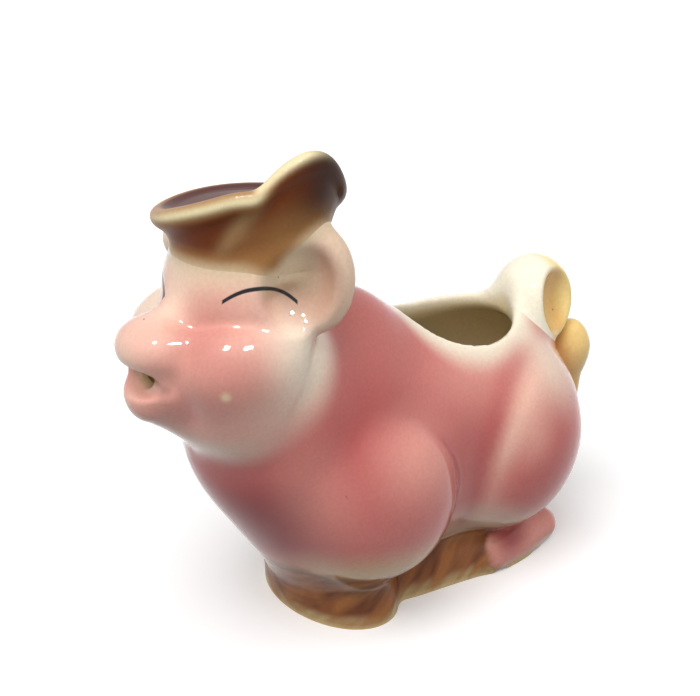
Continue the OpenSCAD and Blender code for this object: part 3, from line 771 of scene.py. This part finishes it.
def eye_lines(nodes, where, colour):
    """Two thin painted arcs, closed eyes. The far one lies further forward, in and down, and is wider."""
    split = nodes.add("SeparateXYZ", i0=where).outputs
    far = nodes.math("LESS_THAN", split[Y], 0.0)
    either_side = nodes.math("ABSOLUTE", split[Y])
    at = nodes.add("CombineXYZ", i0=split[X], i1=either_side, i2=split[Z]).outputs[0]
    at = nodes.vector("SUBTRACT", at, tuple(in_part(EYE_MIDDLE)))
    shift = nodes.vector("MULTIPLY", far, tuple(v * MM for v in FAR_EYE_SHIFT))
    at = nodes.vector("SUBTRACT", at, shift)
    along = nodes.vector("DOT_PRODUCT", at, tuple(v / MM for v in EYE_ALONG))
    up = nodes.vector("DOT_PRODUCT", at, tuple(v / MM for v in EYE_UP))
    square = nodes.math("MULTIPLY", along, along)
    arc = nodes.math("SUBTRACT", EYE_RISE, nodes.math("MULTIPLY", square, EYE_RISE / EYE_HALF**2))
    off = nodes.math("ABSOLUTE", nodes.math("SUBTRACT", up, arc))
    off = nodes.math("DIVIDE", off, nodes.ramp(far, 0.0, 1.0, 1.0, FAR_EYE_WIDER))
    line = nodes.ramp(off, EYE_LINE - EYE_SOFT, EYE_LINE + EYE_SOFT, 1.0, 0.0, "SMOOTHSTEP")
    ends = nodes.ramp(square, (EYE_HALF - EYE_END) ** 2, EYE_HALF**2, 1.0, 0.0)
    return nodes.mix(nodes.math("MULTIPLY", line, ends), colour, INK)


GRASSY = ("base_glaze", "body_glaze", "leg_glaze", "haunch_glaze", "foot_glaze")
DARK_GRASS, LIGHT_GRASS = (0.15, 0.045, 0.014, 1), (0.4, 0.15, 0.042, 1)
STROKE_LEAN, STROKE_SCALE = 0.8, (300.0, 140.0, 30.0)
STROKE_RAGGED, GRASS_COVER = 0.7, 0.95


def grass_strokes(nodes, where, colour):
    """Brush strokes of darker and lighter brown that lean back along the base."""
    weight = nodes.add("Attribute", {"attribute_name": "grass"}).outputs["Fac"]
    lean = {"rotation_type": "Y_AXIS"}
    along = nodes.add("VectorRotate", lean, Vector=where, Angle=STROKE_LEAN).outputs[0]
    thin = nodes.vector("MULTIPLY", along, STROKE_SCALE)
    stroke = nodes.add("TexNoise", Vector=thin, Scale=1.0, Detail=1.5, Roughness=0.5).outputs["Fac"]
    brown = nodes.mix(nodes.ramp(stroke, 0.35, 0.68, 0.0, 1.0), DARK_GRASS, LIGHT_GRASS)
    ragged = nodes.math("MULTIPLY", nodes.math("SUBTRACT", stroke, 0.5), STROKE_RAGGED)
    cover = nodes.ramp(nodes.math("ADD", weight, ragged), 0.25, 0.7, 0.0, GRASS_COVER, "SMOOTHSTEP")
    return nodes.mix(cover, colour, brown)


SURFACE = {"Roughness": 0.45, "Specular IOR Level": 0.05, "Coat Roughness": 0.05, "Coat IOR": 1.33}
THINNER_COAT = {"beret_glaze": 0.2, "base_glaze": 0.4}
SPATTER_DARK, SPATTER_LIGHT = 0.95, 1.03
IRON, IRON_COVER, IRON_RARITY = (0.16, 0.06, 0.03, 1), 0.75, 0.82


def glaze(slot):
    """Clear glaze over the airbrushed colour, with the spray's fine spatter and a few iron specks."""
    material, nodes, shader = new_material(slot)
    where = nodes.add("TexCoord").outputs["Object"]
    colour = nodes.add("Attribute", {"attribute_name": "tint"}).outputs["Color"]
    if slot in GRASSY:
        colour = grass_strokes(nodes, where, colour)
    spatter = nodes.add("TexNoise", Vector=where, Scale=1100.0, Detail=2.0).outputs["Fac"]
    spatter = nodes.ramp(spatter, 0.3, 0.7, SPATTER_DARK, SPATTER_LIGHT)
    colour = nodes.mix(1.0, colour, spatter, "MULTIPLY")
    cell = nodes.add("TexVoronoi", Vector=where, Scale=130.0).outputs
    dot = nodes.ramp(cell["Distance"], 0.03, 0.06, 1.0, 0.0)
    lot = nodes.add("SeparateColor", i0=cell["Color"]).outputs[0]
    speck = nodes.math("MULTIPLY", dot, nodes.math("GREATER_THAN", lot, IRON_RARITY))
    colour = nodes.mix(nodes.math("MULTIPLY", speck, IRON_COVER), colour, IRON)
    if slot == "head_glaze":
        colour = eye_lines(nodes, where, colour)
    ripple = nodes.add("TexNoise", Vector=where, Scale=190.0, Detail=1.0).outputs["Fac"]
    bump = nodes.add("Bump", Strength=0.1, Distance=0.0004, Height=ripple).outputs["Normal"]
    nodes.join(colour, shader["Base Color"])
    nodes.join(bump, shader["Normal"])
    nodes.join(THINNER_COAT.get(slot, 1.0), shader["Coat Weight"])
    for name, value in SURFACE.items():
        nodes.join(value, shader[name])
    return material


def place(name, data):
    """A new object of the scene."""
    thing = bpy.data.objects.new(name, data)
    bpy.context.scene.collection.objects.link(thing)
    return thing


def make_piece(name, pitch, material):
    """One glazed piece with its colours, in place of the solid of the same name."""
    points, normals, faces = piece_mesh(name, pitch)
    mesh = bpy.data.meshes.new(name)
    mesh.from_pydata(in_part(points).tolist(), [], faces)
    mesh.shade_smooth()
    mesh.normals_split_custom_set_from_vertices(normals.tolist())
    distances, outside = clay(points)
    colour = piece_colour(name, points, normals, distances, outside)
    colour = np.column_stack([colour, np.ones(len(points))])
    tint = mesh.attributes.new("tint", "FLOAT_COLOR", "POINT")
    tint.data.foreach_set("color", colour.astype(np.float32).ravel())
    grass = mesh.attributes.new("grass", "FLOAT", "POINT")
    grass.data.foreach_set("value", grass_weight(points, distances).astype(np.float32))
    mesh.materials.append(material)
    piece = place(name + "_glazed", mesh)
    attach(piece, "root")
    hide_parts(name)


# Studio. A side is given as degrees round from the snout to the pig's left, and degrees up.
# Places and the camera's distance are in the pig's millimetres, the rest in metres

def direction(azimuth, elevation):
    a, e = np.radians((azimuth, elevation))
    return np.array([np.cos(a) * np.cos(e), np.sin(a) * np.cos(e), np.sin(e)])


def look_at(thing, at):
    thing.rotation_euler = (Vector(at) - thing.location).to_track_quat("-Z", "Y").to_euler()


def add_sun(name, azimuth, elevation, strength, spread):
    """A broad soft light that isn't mirrored in the glaze."""
    light = bpy.data.lights.new(name, "SUN")
    light.energy = strength
    light.angle = np.radians(spread)
    sun = place(name, light)
    sun.location = direction(azimuth, elevation)
    look_at(sun, (0, 0, 0))
    sun.visible_glossy = False


GLINT_AT = (71.7, 20, 93)
GLINT_AWAY, GLINT_SPREAD = 0.6, 12


def add_glint(name, azimuth, elevation, size, watts):
    """A small lamp beamed at the cheek. It shows as highlights on the glaze and lights nothing else."""
    light = bpy.data.lights.new(name, "AREA")
    light.shape = "RECTANGLE"
    light.size, light.size_y = size
    light.energy = watts
    light.spread = np.radians(GLINT_SPREAD)
    lamp = place(name, light)
    at = Vector(in_part(GLINT_AT))
    lamp.location = at + GLINT_AWAY * Vector(direction(azimuth, elevation))
    look_at(lamp, at)
    lamp.visible_diffuse = False
    lamp.visible_camera = False


CAMERA_SIDE, CAMERA_AWAY, CAMERA_TARGET = (52, 25), 420, (0, -27, 56)
CAMERA_SENSOR = 36
PHOTO_WIDTH, PIXELS_PER_MM = 700, 3.45


def add_camera():
    """The photograph's view. The lens gives the photograph's pixels per millimetre at the target."""
    data = bpy.data.cameras.new("camera")
    data.sensor_fit = "HORIZONTAL"
    data.sensor_width = CAMERA_SENSOR
    data.lens = PIXELS_PER_MM * CAMERA_AWAY / PHOTO_WIDTH * CAMERA_SENSOR
    data.clip_start, data.clip_end = 0.01, 50
    camera = place("camera", data)
    target = in_part(CAMERA_TARGET)
    camera.location = target + direction(*CAMERA_SIDE) * (CAMERA_AWAY * MM)
    look_at(camera, target)
    bpy.context.scene.camera = camera


WHITE = (1, 1, 1, 1)
FLOOR_HALF = 9
FLOOR_DARK, FLOOR_GLOW = (0.14, 0.14, 0.14, 1), 0.1


def add_floor():
    """A table, white where it is seen or mirrored, and darker for the light that it throws back."""
    mesh = bpy.data.meshes.new("floor")
    corners = [(x * FLOOR_HALF, y * FLOOR_HALF, 0) for x, y in ((-1, -1), (1, -1), (1, 1), (-1, 1))]
    mesh.from_pydata(corners, [], [(0, 1, 2, 3)])
    material, nodes, shader = new_material("floor")
    seen = nodes.seen()
    nodes.join(nodes.mix(seen, FLOOR_DARK, WHITE), shader["Base Color"])
    nodes.join(WHITE, shader["Emission Color"])
    nodes.join(nodes.math("MULTIPLY", seen, FLOOR_GLOW), shader["Emission Strength"])
    nodes.join(0.9, shader["Roughness"])
    nodes.join(0.0, shader["Specular IOR Level"])
    mesh.materials.append(material)
    floor = place("floor", mesh)


ROOM_LIGHT = 0.28


def add_light():
    """A pale room, white where it is seen or mirrored, two soft suns and two lamps for highlights."""
    world = bpy.data.worlds.new("studio")
    world.use_nodes = True
    nodes = Nodes(world.node_tree)
    background = world.node_tree.nodes["Background"].inputs
    nodes.join(WHITE, background["Color"])
    nodes.join(nodes.ramp(nodes.seen(), 0.0, 1.0, ROOM_LIGHT, 1.0), background["Strength"])
    bpy.context.scene.world = world
    add_sun("key", azimuth=22, elevation=58, strength=2.0, spread=50)
    add_sun("fill", azimuth=100, elevation=44, strength=1.3, spread=150)
    add_glint("round_glint", azimuth=26, elevation=70, size=(0.09, 0.09), watts=0.05)
    add_glint("window_glint", azimuth=96, elevation=59, size=(0.2, 0.08), watts=0.1)


PITCH = 1.0
FINER_PITCH = {
    "head_shell": 0.8, "beret": 0.55, "left_ear": 0.7, "right_ear": 0.7,
    "tail_curl": 0.8, "tail_tip": 0.7,
}
coarser = 1

glazes = {slot: glaze(slot) for slot in sorted(set(SLOTS.values()))}
for name in PIECES:
    make_piece(name, FINER_PITCH.get(name, PITCH) * coarser, glazes[SLOTS[name]])
add_camera()
add_floor()
add_light()
bpy.context.scene.view_settings.view_transform = "Standard"
